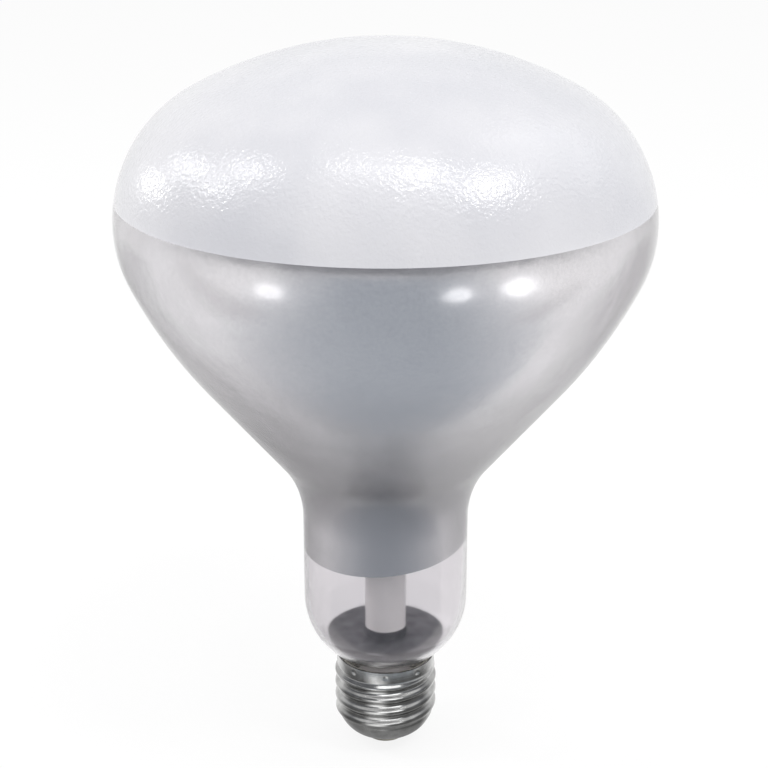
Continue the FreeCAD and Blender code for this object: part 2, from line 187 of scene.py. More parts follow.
def blendColours(tree, factor, first, second):
    node = put(tree, "ShaderNodeMix", {"Factor": factor}, data_type="RGBA")
    for socket, value in zip(node.inputs[6:8], (first, second)):  # the node's two colours
        feed(tree, socket, value if isinstance(value, bpy.types.NodeSocket) else (*value, 1.0))
    return node.outputs[2]


def mixShaders(tree, factor, first, second):
    node = put(tree, "ShaderNodeMixShader")
    feed(tree, node.inputs[0], factor)
    tree.links.new(first.outputs[0], node.inputs[1])
    tree.links.new(second.outputs[0], node.inputs[2])
    return node


def patchyColour(tree, shader, look, detail=3.0):
    cloud = field(tree, softCloud, Scale=look["cloudScale"], Detail=detail)
    feed(tree, shader.inputs["Base Color"], blendColours(tree, cloud, look["shade"], look["pale"]))


def patchyRoughness(tree, look, detail=3.0):
    low, high = look["roughness"]
    return field(tree, softCloud, Scale=look["roughScale"], Detail=detail, Low=low, High=high)


def relief(tree, shader, height, depth, sockets=("Normal",)):  # depth in millimetres
    bump = put(tree, "ShaderNodeBump", {"Strength": 1.0, "Distance": depth * mm, "Height": height})
    for name in sockets:
        tree.links.new(bump.outputs["Normal"], shader.inputs[name])


def heightBetween(tree, low, high):  # 0 at the low height, 1 at the high one
    return rampBetween(tree, splitAxes(tree, objectPlace(tree))["Z"], low * mm, high * mm)


# Frosted face: pale, with a fine grain under a thin gloss
faceFrost = {
    "pale": (0.655, 0.652, 0.68),
    "shade": (0.56, 0.563, 0.60),
    "cloudScale": 24.0,
    "roughness": (0.2, 0.25),
    "roughScale": 90.0,
    "gloss": 0.4,
    "glossRoughness": 0.12,
    "grainScale": 1000.0,
    "grainDepth": 0.165,
    "transmission": 0.12,
    "ior": 1.5,
}


def frostedFinish():
    material, tree, shader = startFinish("frostedFace")
    patchyColour(tree, shader, faceFrost)
    feed(tree, shader.inputs["Roughness"], patchyRoughness(tree, faceFrost))
    shader.inputs["Transmission Weight"].default_value = faceFrost["transmission"]
    shader.inputs["IOR"].default_value = faceFrost["ior"]
    shader.inputs["Coat Weight"].default_value = faceFrost["gloss"]
    shader.inputs["Coat Roughness"].default_value = faceFrost["glossRoughness"]
    grain = field(tree, hammerGrain, Scale=faceFrost["grainScale"])
    relief(tree, shader, grain, faceFrost["grainDepth"], ("Normal", "Coat Normal"))
    return material


# Clear glass over the film and round the neck
clearGlass = {
    "tint": (0.84, 0.822, 0.84),
    "roughness": (0.07, 0.1),
    "roughScale": 60.0,
    "throat": (61.0, 72.0, 96.0, 125.0),  # heights where the wall turns duller and clear again
    "throatRoughness": 0.13,  # added there
    "waveScale": 45.0,
    "waveDepth": 0.04,
    "ior": 1.5,
}


def clearFinish():
    material, tree, shader = startFinish("clearBlownGlass")
    shader.inputs["Base Color"].default_value = (*clearGlass["tint"], 1.0)
    start, full, fade, end = clearGlass["throat"]
    throat = calc(tree, "SUBTRACT", heightBetween(tree, start, full), heightBetween(tree, fade, end))
    added = calc(tree, "MULTIPLY", throat, clearGlass["throatRoughness"])
    feed(tree, shader.inputs["Roughness"], calc(tree, "ADD", patchyRoughness(tree, clearGlass), added))
    shader.inputs["Transmission Weight"].default_value = 1.0
    shader.inputs["IOR"].default_value = clearGlass["ior"]
    relief(tree, shader, field(tree, softCloud, Scale=clearGlass["waveScale"]), clearGlass["waveDepth"])
    # lamps shine through the wall, so what is inside stays lit
    shadow = put(tree, "ShaderNodeLightPath").outputs["Is Shadow Ray"]
    mixed = mixShaders(tree, shadow, shader, put(tree, "ShaderNodeBsdfTransparent"))
    tree.links.new(mixed.outputs[0], tree.nodes["Material Output"].inputs["Surface"])
    return material


# Milky glass of the stem
stemGlass = {
    "pale": (0.98, 0.945, 0.935),
    "shade": (0.92, 0.89, 0.88),
    "cloudScale": 120.0,
    "roughness": (0.3, 0.45),
    "roughScale": 200.0,
    "transmission": 0.08,
    "ior": 1.5,
}


def milkyFinish():
    material, tree, shader = startFinish("milkyStemGlass")
    patchyColour(tree, shader, stemGlass)
    feed(tree, shader.inputs["Roughness"], patchyRoughness(tree, stemGlass))
    shader.inputs["Transmission Weight"].default_value = stemGlass["transmission"]
    shader.inputs["IOR"].default_value = stemGlass["ior"]
    return material


# Mirror film: bright in the bowl, darker in the throat and the neck, where the darker tone is painted shade
mirrorFilm = {
    "bowl": (0.96, 0.955, 0.96),
    "bowlShade": (0.88, 0.88, 0.89),
    "cloudScale": 35.0,
    "grain": (0.30, 0.30, 0.32),
    "grainShare": 0.08,
    "grainScale": 1500.0,
    # throat and neck: darker film tones, painted shade
    "throat": (0.425, 0.42, 0.433),
    "neck": (0.63, 0.625, 0.637),
    "neckTo": 58.0,
    "throatFrom": 84.0,
    "throatTo": 74.0,
    "bowlFrom": 123.0,
    "roughness": (0.14, 0.2),
    "roughScale": 70.0,
    "throatRoughness": 0.07,  # added below the bowl
    "waveScale": 60.0,
    "waveDepth": 0.03,
}


def filmFinish():
    look = mirrorFilm
    material, tree, shader = startFinish("mirrorFilm")
    cloud = field(tree, softCloud, Scale=look["cloudScale"])
    bowl = blendColours(tree, cloud, look["bowlShade"], look["bowl"])
    # painted shade: the film's colour turns darker below the bowl, darkest in the throat
    paintedShadeRise = heightBetween(tree, look["neckTo"], look["throatFrom"])
    low = blendColours(tree, paintedShadeRise, look["neck"], look["throat"])
    rise = heightBetween(tree, look["throatTo"], look["bowlFrom"])
    grain = field(tree, softCloud, Scale=look["grainScale"], High=look["grainShare"])
    colour = blendColours(tree, grain, blendColours(tree, rise, low, bowl), look["grain"])
    feed(tree, shader.inputs["Base Color"], colour)
    shader.inputs["Metallic"].default_value = 1.0
    added = calc(tree, "MULTIPLY", calc(tree, "SUBTRACT", 1.0, rise), look["throatRoughness"])
    feed(tree, shader.inputs["Roughness"], calc(tree, "ADD", patchyRoughness(tree, look), added))
    relief(tree, shader, field(tree, softCloud, Scale=look["waveScale"]), look["waveDepth"])
    return material


# Metals: colour between two tones, roughness between two levels, and rolled lines or a plain wave
metalFinishes = {
    # nickelShell: its own metal colour, toned darker than bare nickel as painted shade for the dark room it
    # mirrors
    "nickelShell": {"pale": (0.50, 0.50, 0.495), "shade": (0.37, 0.37, 0.365), "roughness": (0.17, 0.26)},
    "contactBrass": {"pale": (0.60, 0.57, 0.50), "shade": (0.45, 0.43, 0.38), "roughness": (0.22, 0.36)},
    "greySolder": {"pale": (0.55, 0.55, 0.54), "shade": (0.38, 0.38, 0.38), "roughness": (0.28, 0.48)},
    "darkShield": {"pale": (0.22, 0.21, 0.23), "shade": (0.14, 0.138, 0.15), "roughness": (0.42, 0.6)},
    "nickelWire": {"pale": (0.58, 0.56, 0.52), "shade": (0.45, 0.43, 0.40), "roughness": (0.25, 0.4)},
    "copperWire": {"pale": (0.75, 0.42, 0.28), "shade": (0.52, 0.28, 0.19), "roughness": (0.25, 0.42)},
    "supportWire": {"pale": (0.46, 0.45, 0.45), "shade": (0.33, 0.33, 0.33), "roughness": (0.3, 0.45)},
    "filamentWire": {"pale": (0.34, 0.33, 0.33), "shade": (0.22, 0.22, 0.23), "roughness": (0.35, 0.5)},
}
lineDepth = {"nickelShell": 0.006, "contactBrass": 0.005, "darkShield": 0.004}
metalGrain = {
    "cloudScale": 260.0,
    "roughScale": 420.0,
    "roughDetail": 5.0,
    "waveScale": 900.0,  # on metal without lines
    "waveDepth": 0.02,
}


def metalFinish(name):
    look = {**metalGrain, **metalFinishes[name]}
    material, tree, shader = startFinish(name)
    patchyColour(tree, shader, look)
    shader.inputs["Metallic"].default_value = 1.0
    feed(tree, shader.inputs["Roughness"], patchyRoughness(tree, look, look["roughDetail"]))
    if name in lineDepth:
        relief(tree, shader, field(tree, rolledLines), lineDepth[name])
    else:
        relief(tree, shader, field(tree, softCloud, Scale=look["waveScale"]), look["waveDepth"])
    return material


# Black glass of the base
blackGlass = {
    "pale": (0.024, 0.022, 0.028),
    "shade": (0.010, 0.010, 0.013),
    "cloudScale": 300.0,
    "roughness": (0.08, 0.22),
    "roughScale": 500.0,
    "waveScale": 420.0,
    "waveDepth": 0.06,
}


def insulatorFinish():
    material, tree, shader = startFinish("blackBaseGlass")
    patchyColour(tree, shader, blackGlass)
    feed(tree, shader.inputs["Roughness"], patchyRoughness(tree, blackGlass))
    relief(tree, shader, field(tree, softCloud, Scale=blackGlass["waveScale"]), blackGlass["waveDepth"])
    return material


# Pale cement between the glass and the collar
paleCement = {
    "pale": (0.60, 0.58, 0.53),
    "shade": (0.42, 0.40, 0.36),
    "cloudScale": 400.0,
    "cloudDetail": 6.0,
    "roughness": (0.75, 0.95),
    "roughScale": 900.0,
    "grainScale": 1500.0,
    "grainDepth": 0.05,
}


def cementFinish():
    material, tree, shader = startFinish("cappingCement")
    patchyColour(tree, shader, paleCement, paleCement["cloudDetail"])
    feed(tree, shader.inputs["Roughness"], patchyRoughness(tree, paleCement))
    relief(tree, shader, field(tree, hammerGrain, Scale=paleCement["grainScale"]), paleCement["grainDepth"])
    return material


finishes = {name: metalFinish(name) for name in metalFinishes}
finishes["frostedFace"] = frostedFinish()
finishes["clearBlownGlass"] = clearFinish()
finishes["milkyStemGlass"] = milkyFinish()
finishes["mirrorFilm"] = filmFinish()
finishes["blackBaseGlass"] = insulatorFinish()
finishes["cappingCement"] = cementFinish()
print("finishes made:", len(finishes))


# Geometry Nodes
def startTree(name, inputs):
    tree = bpy.data.node_groups.new(name, "GeometryNodeTree")
    tree.interface.new_socket("Geometry", in_out="OUTPUT", socket_type="NodeSocketGeometry")
    tree.interface.new_socket("Geometry", in_out="INPUT", socket_type="NodeSocketGeometry")
    for socketName, kind in inputs.items():
        tree.interface.new_socket(socketName, in_out="INPUT", socket_type="NodeSocket" + kind)
    return tree, tree.nodes.new("NodeGroupInput").outputs


def compare(tree, first, second):  # true where first is greater
    node = put(tree, "FunctionNodeCompare", operation="GREATER_THAN")
    feed(tree, node.inputs[0], first)
    feed(tree, node.inputs[1], second)
    return node.outputs["Result"]


def welded(tree, geometry, distance=0.002):  # distance in millimetres
    inputs = {"Geometry": geometry, "Distance": distance * mm}
    return put(tree, "GeometryNodeMergeByDistance", inputs).outputs[0]


def endTree(tree, geometry, sharpAngle, *dressing):  # smooth shading, real geometry, then the finishes
    smooth = put(tree, "GeometryNodeSetShadeSmooth", {"Geometry": geometry}).outputs[0]
    angle = put(tree, "GeometryNodeInputMeshEdgeAngle").outputs["Unsigned Angle"]
    creases = {"Geometry": smooth, "Selection": compare(tree, angle, sharpAngle), "Shade Smooth": False}
    geometry = put(tree, "GeometryNodeSetShadeSmooth", creases, domain="EDGE").outputs[0]
    geometry = put(tree, "GeometryNodeRealizeInstances", {"Geometry": geometry}).outputs[0]
    for material, selection in dressing:
        dress = put(tree, "GeometryNodeSetMaterial", {"Geometry": geometry, "Material": material})
        if selection is not None:
            feed(tree, dress.inputs["Selection"], selection)
        geometry = dress.outputs[0]
    put(tree, "NodeGroupOutput")
    tree.links.new(geometry, tree.nodes["Group Output"].inputs["Geometry"])
    return tree


def gridTurns(tree, rows, columns):  # a grid, its row numbers and its angles round the axis
    grid = put(tree, "GeometryNodeMeshGrid", {"Size X": 1.0, "Size Y": 1.0})
    feed(tree, grid.inputs["Vertices X"], rows)
    feed(tree, grid.inputs["Vertices Y"], calc(tree, "ADD", columns, 1.0))
    axes = splitAxes(tree, put(tree, "GeometryNodeInputPosition").outputs[0])
    last = calc(tree, "SUBTRACT", rows, 1.0)
    row = calc(tree, "ROUND", calc(tree, "MULTIPLY", calc(tree, "ADD", axes["X"], 0.5), last))
    angle = calc(tree, "MULTIPLY", calc(tree, "ADD", axes["Y"], 0.5), 2 * math.pi)
    return grid.outputs["Mesh"], row, angle


def roundAxis(tree, reach, angle, height):
    spot = put(tree, "ShaderNodeCombineXYZ")
    feed(tree, spot.inputs["X"], calc(tree, "MULTIPLY", reach, calc(tree, "COSINE", angle)))
    feed(tree, spot.inputs["Y"], calc(tree, "MULTIPLY", reach, calc(tree, "SINE", angle)))
    feed(tree, spot.inputs["Z"], height)
    return spot.outputs[0]


def turnedTree():  # turns an outline round the axis; its lower end can slant
    inputs = {"Columns": "Int", "Sharp Angle": "Float", "Slant X": "Float", "Slant Y": "Float"}
    inputs.update({"Slant Low": "Float", "Slant High": "Float", "Upper From": "Float"})
    inputs.update({"Material": "Material", "Upper Material": "Material"})
    tree, given = startTree("turnedPiece", inputs)
    size = put(tree, "GeometryNodeAttributeDomainSize", {"Geometry": given["Geometry"]})
    grid, row, angle = gridTurns(tree, size.outputs["Point Count"], given["Columns"])
    place = put(tree, "GeometryNodeInputPosition").outputs[0]
    pick = put(tree, "GeometryNodeSampleIndex", {"Geometry": given["Geometry"]}, data_type="FLOAT_VECTOR")
    feed(tree, pick.inputs["Value"], place)
    feed(tree, pick.inputs["Index"], row)
    outline = splitAxes(tree, pick.outputs["Value"])
    reach, height = outline["X"], outline["Z"]
    fall = calc(tree, "SUBTRACT", given["Slant High"], height)
    span = calc(tree, "SUBTRACT", given["Slant High"], given["Slant Low"])
    share = calc(tree, "MINIMUM", calc(tree, "MAXIMUM", calc(tree, "DIVIDE", fall, span), 0.0), 1.0)
    tiltX = calc(tree, "MULTIPLY", calc(tree, "COSINE", angle), given["Slant X"])
    tiltY = calc(tree, "MULTIPLY", calc(tree, "SINE", angle), given["Slant Y"])
    lift = calc(tree, "MULTIPLY", calc(tree, "MULTIPLY", calc(tree, "ADD", tiltX, tiltY), reach), share)
    spot = roundAxis(tree, reach, angle, calc(tree, "ADD", height, lift))
    turned = put(tree, "GeometryNodeSetPosition", {"Geometry": grid, "Position": spot}).outputs[0]
    upper = (given["Upper Material"], compare(tree, splitAxes(tree, place)["Z"], given["Upper From"]))
    return endTree(tree, welded(tree, turned), given["Sharp Angle"], (given["Material"], None), upper)


def shellTree():  # rolled screw shell: a wave that climbs round a collar and a bowl
    names = ["Collar Radius", "Rim Height", "Straight", "Bowl Radius", "Bowl Turn", "Wall", "Pitch", "Depth"]
    names += ["Crest Drop", "Run-out", "Thread Top", "Thread Bottom", "Stakes", "Stake Ball", "Stake Depth"]
    names += ["Stake Drop", "Sharp Angle"]
    inputs = {"Rows": "Int", "Columns": "Int", **{name: "Float" for name in names}, "Material": "Material"}
    tree, given = startTree("rolledShell", inputs)

    def do(operation, *values):
        return calc(tree, operation, *values)

    loop = do("MULTIPLY", given["Rows"], 2.0)  # down the outside and up the inside
    grid, row, angle = gridTurns(tree, do("ADD", loop, 1.0), given["Columns"])
    row = do("MODULO", row, loop)
    inside = do("GREATER_THAN", row, do("SUBTRACT", given["Rows"], 0.5))
    mirrored = do("SUBTRACT", do("SUBTRACT", loop, 1.0), row)
    step = do("ADD", row, do("MULTIPLY", inside, do("SUBTRACT", mirrored, row)))
    length = do("ADD", given["Straight"], do("MULTIPLY", given["Bowl Radius"], given["Bowl Turn"]))
    along = do("MULTIPLY", do("DIVIDE", step, do("SUBTRACT", given["Rows"], 1.0)), length)
    slope = do("DIVIDE", do("MAXIMUM", do("SUBTRACT", along, given["Straight"]), 0.0), given["Bowl Radius"])
    pulled = do("MULTIPLY", given["Bowl Radius"], do("SUBTRACT", 1.0, do("COSINE", slope)))
    radius = do("SUBTRACT", given["Collar Radius"], pulled)
    sunk = do("MULTIPLY", given["Bowl Radius"], do("SINE", slope))
    dropped = do("ADD", do("MINIMUM", along, given["Straight"]), sunk)
    height = do("SUBTRACT", given["Rim Height"], dropped)
    # crest and root are equal arcs that meet without a corner
    rise = do("MULTIPLY", given["Depth"], 0.5)
    quarter = do("MULTIPLY", given["Pitch"], 0.25)
    squares = do("ADD", do("MULTIPLY", quarter, quarter), do("MULTIPLY", rise, rise))
    arcRadius = do("DIVIDE", squares, do("MULTIPLY", rise, 2.0))
    climbed = do("ADD", do("SUBTRACT", height, given["Rim Height"]), given["Crest Drop"])
    turns = do("SUBTRACT", do("DIVIDE", climbed, given["Pitch"]), do("DIVIDE", angle, 2 * math.pi))
    fromCrest = do("MULTIPLY", do("ABSOLUTE", do("SUBTRACT", turns, do("ROUND", turns))), given["Pitch"])
    inRoot = do("GREATER_THAN", fromCrest, quarter)
    fromRoot = do("SUBTRACT", do("MULTIPLY", quarter, 2.0), fromCrest)
    away = do("ADD", fromCrest, do("MULTIPLY", inRoot, do("SUBTRACT", fromRoot, fromCrest)))
    reachSquare = do("SUBTRACT", do("MULTIPLY", arcRadius, arcRadius), do("MULTIPLY", away, away))
    bulge = do("ADD", do("SUBTRACT", rise, arcRadius), do("SQRT", reachSquare))
    wave = do("MULTIPLY", bulge, do("SUBTRACT", 1.0, do("MULTIPLY", inRoot, 2.0)))
    above = do("SUBTRACT", height, given["Thread Bottom"])
    below = do("SUBTRACT", given["Thread Top"], height)
    runIn = do("DIVIDE", do("MINIMUM", above, below), given["Run-out"])
    fade = do("SINE", do("MULTIPLY", do("MINIMUM", do("MAXIMUM", runIn, 0.0), 1.0), math.pi / 2))
    wave = do("MULTIPLY", wave, do("MULTIPLY", fade, fade))
    # round dents of the punch that stakes the collar, the first at the front
    place = do("MULTIPLY", do("ADD", angle, math.pi / 2), do("DIVIDE", given["Stakes"], 2 * math.pi))
    spacing = do("DIVIDE", do("MULTIPLY", given["Collar Radius"], 2 * math.pi), given["Stakes"])
    across = do("MULTIPLY", do("SUBTRACT", place, do("ROUND", place)), spacing)
    down = do("SUBTRACT", do("SUBTRACT", given["Rim Height"], given["Stake Drop"]), height)
    gap = do("ADD", do("MULTIPLY", across, across), do("MULTIPLY", down, down))
    ball = do("MULTIPLY", given["Stake Ball"], 0.5)
    bite = do("SQRT", do("MAXIMUM", do("SUBTRACT", do("MULTIPLY", ball, ball), gap), 0.0))
    dent = do("MAXIMUM", do("SUBTRACT", bite, do("SUBTRACT", ball, given["Stake Depth"])), 0.0)
    dent = do("MULTIPLY", dent, do("SUBTRACT", 1.0, inside))
    out = do("SUBTRACT", do("SUBTRACT", wave, do("MULTIPLY", inside, given["Wall"])), dent)
    reach = do("ADD", radius, do("MULTIPLY", out, do("COSINE", slope)))
    low = do("SUBTRACT", height, do("MULTIPLY", out, do("SINE", slope)))
    spot = roundAxis(tree, reach, angle, low)
    rolled = put(tree, "GeometryNodeSetPosition", {"Geometry": grid, "Position": spot}).outputs[0]
    return endTree(tree, welded(tree, rolled), given["Sharp Angle"], (given["Material"], None))


def coilTree():  # wire wound along an open ring
    names = ["Turns", "Ring Radius", "Ring Height", "Start", "Sweep", "Coil Radius", "Wire Radius"]
    names += ["Sharp Angle"]
    inputs = {"Points": "Int", "Wire Sides": "Int", **{name: "Float" for name in names}}
    tree, given = startTree("woundCoil", {**inputs, "Material": "Material"})
    path = put(tree, "GeometryNodeMeshLine", {"Count": given["Points"]}).outputs[0]
    index = put(tree, "GeometryNodeInputIndex").outputs[0]
    share = calc(tree, "DIVIDE", index, calc(tree, "SUBTRACT", given["Points"], 1.0))
    ring = calc(tree, "ADD", given["Start"], calc(tree, "MULTIPLY", given["Sweep"], share))
    wound = calc(tree, "MULTIPLY", calc(tree, "MULTIPLY", given["Turns"], share), 2 * math.pi)
    swing = calc(tree, "MULTIPLY", given["Coil Radius"], calc(tree, "COSINE", wound))
    rise = calc(tree, "MULTIPLY", given["Coil Radius"], calc(tree, "SINE", wound))
    reach = calc(tree, "ADD", given["Ring Radius"], swing)
    spot = roundAxis(tree, reach, ring, calc(tree, "ADD", given["Ring Height"], rise))
    path = put(tree, "GeometryNodeSetPosition", {"Geometry": path, "Position": spot}).outputs[0]
    curve = put(tree, "GeometryNodeMeshToCurve", {"Mesh": path}).outputs[0]
    section = put(tree, "GeometryNodeCurvePrimitiveCircle", {"Resolution": given["Wire Sides"]})
    feed(tree, section.inputs["Radius"], given["Wire Radius"])
    wire = put(tree, "GeometryNodeCurveToMesh", {"Curve": curve, "Profile Curve": section.outputs["Curve"]})
    wire.inputs["Fill Caps"].default_value = True
    return endTree(tree, wire.outputs[0], given["Sharp Angle"], (given["Material"], None))


def smoothTree():  # joins a copied solid's loose triangles and smooths its round faces
    tree, given = startTree("smoothSolid", {"Sharp Angle": "Float", "Material": "Material"})
    joined = welded(tree, given["Geometry"], distance=0.0005)
    return endTree(tree, joined, given["Sharp Angle"], (given["Material"], None))


turnedPiece = turnedTree()
rolledShell = shellTree()
woundCoil = coilTree()
smoothSolid = smoothTree()


def growPiece(name, tree, seed, sizes, node):  # runs a tree and stands its mesh for a node
    piece = bpy.data.objects.new(name, seed)
    scene.collection.objects.link(piece)
    modifier = piece.modifiers.new(tree.name, "NODES")
    modifier.node_group = tree
    for item in tree.interface.items_tree:
        if item.in_out == "INPUT" and item.name in sizes:
            modifier[item.identifier] = sizes[item.name]
    graph = bpy.context.evaluated_depsgraph_get()
    grown = bpy.data.meshes.new_from_object(piece.evaluated_get(graph), depsgraph=graph)
    piece.modifiers.remove(modifier)
    piece.data = grown
    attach(piece, "root")
    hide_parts(node)
    solid = bmesh.new()
    solid.from_mesh(grown)
    volume = solid.calc_volume(signed=True) / mm**3
    openEdges = sum(1 for edge in solid.edges if len(edge.link_faces) != 2)
    solid.free()
    print("piece", name, len(grown.polygons), "faces", round(volume, 1), "mm3,", openEdges, "open edges")


def outlineMesh(name, points):  # (radius, height) pairs in millimetres
    mesh = bpy.data.meshes.new(name)
    mesh.from_pydata([(radius * mm, 0.0, height * mm) for radius, height in points], [], [])
    return mesh


# Blown glass: the arcs of its outline, from the sealed end up to the crown
glassLow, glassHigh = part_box("glass_bulb")
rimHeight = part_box("screw_shell")[1].z / mm
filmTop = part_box("reflector_coating")[1].z / mm
aboveAll = 1.0  # metres, higher than the lamp
bulb = {
    "wall": 1.0,
    "sealRadius": 11.0,
    "heelStart": 2.0,  # below the shell's rim
    "heelHollow": 4.26,
    "heel": 18.8,
    "neckRadius": 20.65,
    "neckStraight": 22.2,
    "throat": 25.0,
    "coneAngle": 39.4,
    "bowl": 118.2,
    "bulgeAngle": 24.7,
    "bulge": 29.2,
    "shoulder": 34.0,
    "crown": 96.8,
    "step": 1.3,  # row spacing along the outline
    "leastStep": 0.02,
    "columns": 192,
    "sharp": 50.0,  # edges that bend more stay crisp
}


def bulbArcs():  # centre radius, centre height, radius (negative where hollow), first and last normal angle
    skirt = rimHeight - bulb["heelStart"]
    widest = glassHigh.x / mm
    cone = math.radians(bulb["coneAngle"])
    bulge = math.radians(bulb["bulgeAngle"])
    heelReach = bulb["heelHollow"] + bulb["heel"]
    heelTurn = math.acos(1 - (bulb["neckRadius"] - bulb["sealRadius"]) / heelReach)
    neckBottom = skirt + heelReach * math.sin(heelTurn)
    neckTop = neckBottom + bulb["neckStraight"]
    footRadius = bulb["neckRadius"] + bulb["throat"] * (1 - math.cos(cone))
    footHeight = neckTop + bulb["throat"] * math.sin(cone)
    bowlCentre = widest - bulb["bulge"] * (1 - math.cos(bulge)) - bulb["bowl"] * math.cos(bulge)
    headRadius = bowlCentre + bulb["bowl"] * math.cos(cone)
    headHeight = footHeight + (headRadius - footRadius) / math.tan(cone)
    bowlHeight = headHeight + bulb["bowl"] * math.sin(cone)
    widestHeight = bowlHeight + (bulb["bulge"] - bulb["bowl"]) * math.sin(bulge)
    shoulderCentre = widest - bulb["shoulder"]
    drop = math.sqrt((bulb["crown"] - bulb["shoulder"]) ** 2 - shoulderCentre**2)
    turn = math.atan2(drop, shoulderCentre)
    arcs = [
        (bulb["sealRadius"] + bulb["heelHollow"], skirt, -bulb["heelHollow"], 0, -heelTurn),
        (bulb["neckRadius"] - bulb["heel"], neckBottom, bulb["heel"], -heelTurn, 0),
        (bulb["neckRadius"] + bulb["throat"], neckTop, -bulb["throat"], 0, -cone),
        (bowlCentre, bowlHeight, bulb["bowl"], -cone, -bulge),
        (widest - bulb["bulge"], widestHeight, bulb["bulge"], -bulge, 0),
        (shoulderCentre, widestHeight, bulb["shoulder"], 0, turn),
        (0.0, widestHeight - drop, bulb["crown"], turn, math.pi / 2),
    ]
    return arcs, neckBottom, neckTop


def bulbSkin(inset):  # outline points, inset from the outside of the glass
    points = [(bulb["sealRadius"] - inset, glassLow.z / mm)]
    for centreRadius, centreHeight, radius, first, last in bulbArcs()[0]:
        reach = radius - inset
        steps = max(2, math.ceil(abs(radius * (last - first)) / bulb["step"]))
        foot = points[-1]
        start = (centreRadius + reach * math.cos(first), centreHeight + reach * math.sin(first))
        gap = math.dist(foot, start)
        for number in range(1, math.ceil(gap / bulb["step"])):  # rows on a straight run
            share = number * bulb["step"] / gap
            points.append(tuple(a + (b - a) * share for a, b in zip(foot, start)))
        for number in range(steps + 1):
            angle = first + (last - first) * number / steps
            points.append((centreRadius + reach * math.cos(angle), centreHeight + reach * math.sin(angle)))
    return points


def withRow(points, height):  # adds a row where the outline passes a height
    for number in range(1, len(points)):
        (r0, z0), (r1, z1) = points[number - 1], points[number]
        if z0 < height < z1:
            share = (height - z0) / (z1 - z0)
            return points[:number] + [(r0 + (r1 - r0) * share, height)] + points[number:]
    return points


def cleanRun(points):  # drops rows that lie on each other
    kept = points[:1]
    for spot in points[1:]:
        if math.dist(spot, kept[-1]) > bulb["leastStep"]:
            kept.append(spot)
    return kept


def blownGlass():
    outer = withRow(cleanRun(bulbSkin(0.0)), filmTop)
    inner = withRow(cleanRun(bulbSkin(bulb["wall"])), filmTop)
    sizes = {
        "Columns": bulb["columns"],
        "Sharp Angle": math.radians(bulb["sharp"]),
        "Slant High": aboveAll,
        "Upper From": filmTop * mm,
        "Material": finishes["clearBlownGlass"],
        "Upper Material": finishes["frostedFace"],
    }
    seed = outlineMesh("bulbOutline", outer[::-1] + inner)
    growPiece("blown_glass", turnedPiece, seed, sizes, "glass_bulb")


# Mirror film on the inside of the bulb
film = {
    "edgeRise": 15.7,  # lower edge above the bottom of the neck, on the axis
    "tiltRight": 4.9,
    "tiltBack": 4.1,
    "outerInset": 0.96,  # bonded, a little into the glass
    "innerInset": 1.2,
    "sameHeight": 1e-6,
    "columns": 192,
    "sharp": 50.0,
}


def filmLining():
    neckBottom, neckTop = bulbArcs()[1:]
    edge = neckBottom + film["edgeRise"]
    low, high = edge - film["sameHeight"], filmTop + film["sameHeight"]
    skins = []
    for inset in (film["outerInset"], film["innerInset"]):
        rows = withRow(withRow(cleanRun(bulbSkin(inset)), filmTop), edge)
        skins.append([spot for spot in rows if low <= spot[1] <= high])
    sizes = {
        "Columns": film["columns"],
        "Sharp Angle": math.radians(film["sharp"]),
        "Slant X": math.tan(math.radians(film["tiltRight"])),
        "Slant Y": math.tan(math.radians(film["tiltBack"])),
        "Slant Low": edge * mm,
        "Slant High": neckTop * mm,
        "Upper From": aboveAll,
        "Material": finishes["mirrorFilm"],
        "Upper Material": finishes["mirrorFilm"],
    }
    seed = outlineMesh("filmOutline", skins[0][::-1] + skins[1] + skins[0][-1:])
    growPiece("mirror_lining", turnedPiece, seed, sizes, "reflector_coating")


# Rolled screw shell of the base
shell = {
    "Rows": 112,
    "Columns": 288,
    "Collar Radius": 12.55,
    "Straight": 14.5,
    "Bowl Radius": 8.5,
    "Wall": 0.35,
    "Pitch": 3.629,
    "Depth": 1.1,
    "Crest Drop": 6.9,
    "Run-out": 2.2,
    "Stake Ball": 2.4,
    "Stake Depth": 0.16,
    "Stake Drop": 1.35,
}
shellTurns = {"bowl": 52.0, "collar": 2.7, "endHeight": 3.4, "stakes": 9, "sharp": 60.0}


def screwShell():
    sizes = {name: value if name in ("Rows", "Columns") else value * mm for name, value in shell.items()}
    turn = math.radians(shellTurns["bowl"])
    lip = rimHeight - shell["Straight"] - shell["Bowl Radius"] * math.sin(turn)
    sizes["Rim Height"] = rimHeight * mm
    sizes["Bowl Turn"] = turn
    sizes["Thread Top"] = (rimHeight - shellTurns["collar"]) * mm
    sizes["Thread Bottom"] = (lip + shellTurns["endHeight"]) * mm
    sizes["Stakes"] = float(shellTurns["stakes"])
    sizes["Sharp Angle"] = math.radians(shellTurns["sharp"])
    sizes["Material"] = finishes["nickelShell"]
    seed = bpy.data.meshes.new("shellSeed")
    growPiece("rolled_shell", rolledShell, seed, sizes, "screw_shell")


# Coiled filament
coil = {
    "ringRadius": 14.0,
    "coilRadius": 0.68,
    "wireRadius": 0.11,
    "turnPitch": 0.36,
    "gap": 80.0,  # open towards the front
    "pointsPerTurn": 12,
    "wireSides": 6,
    "sharp": 70.0,
}


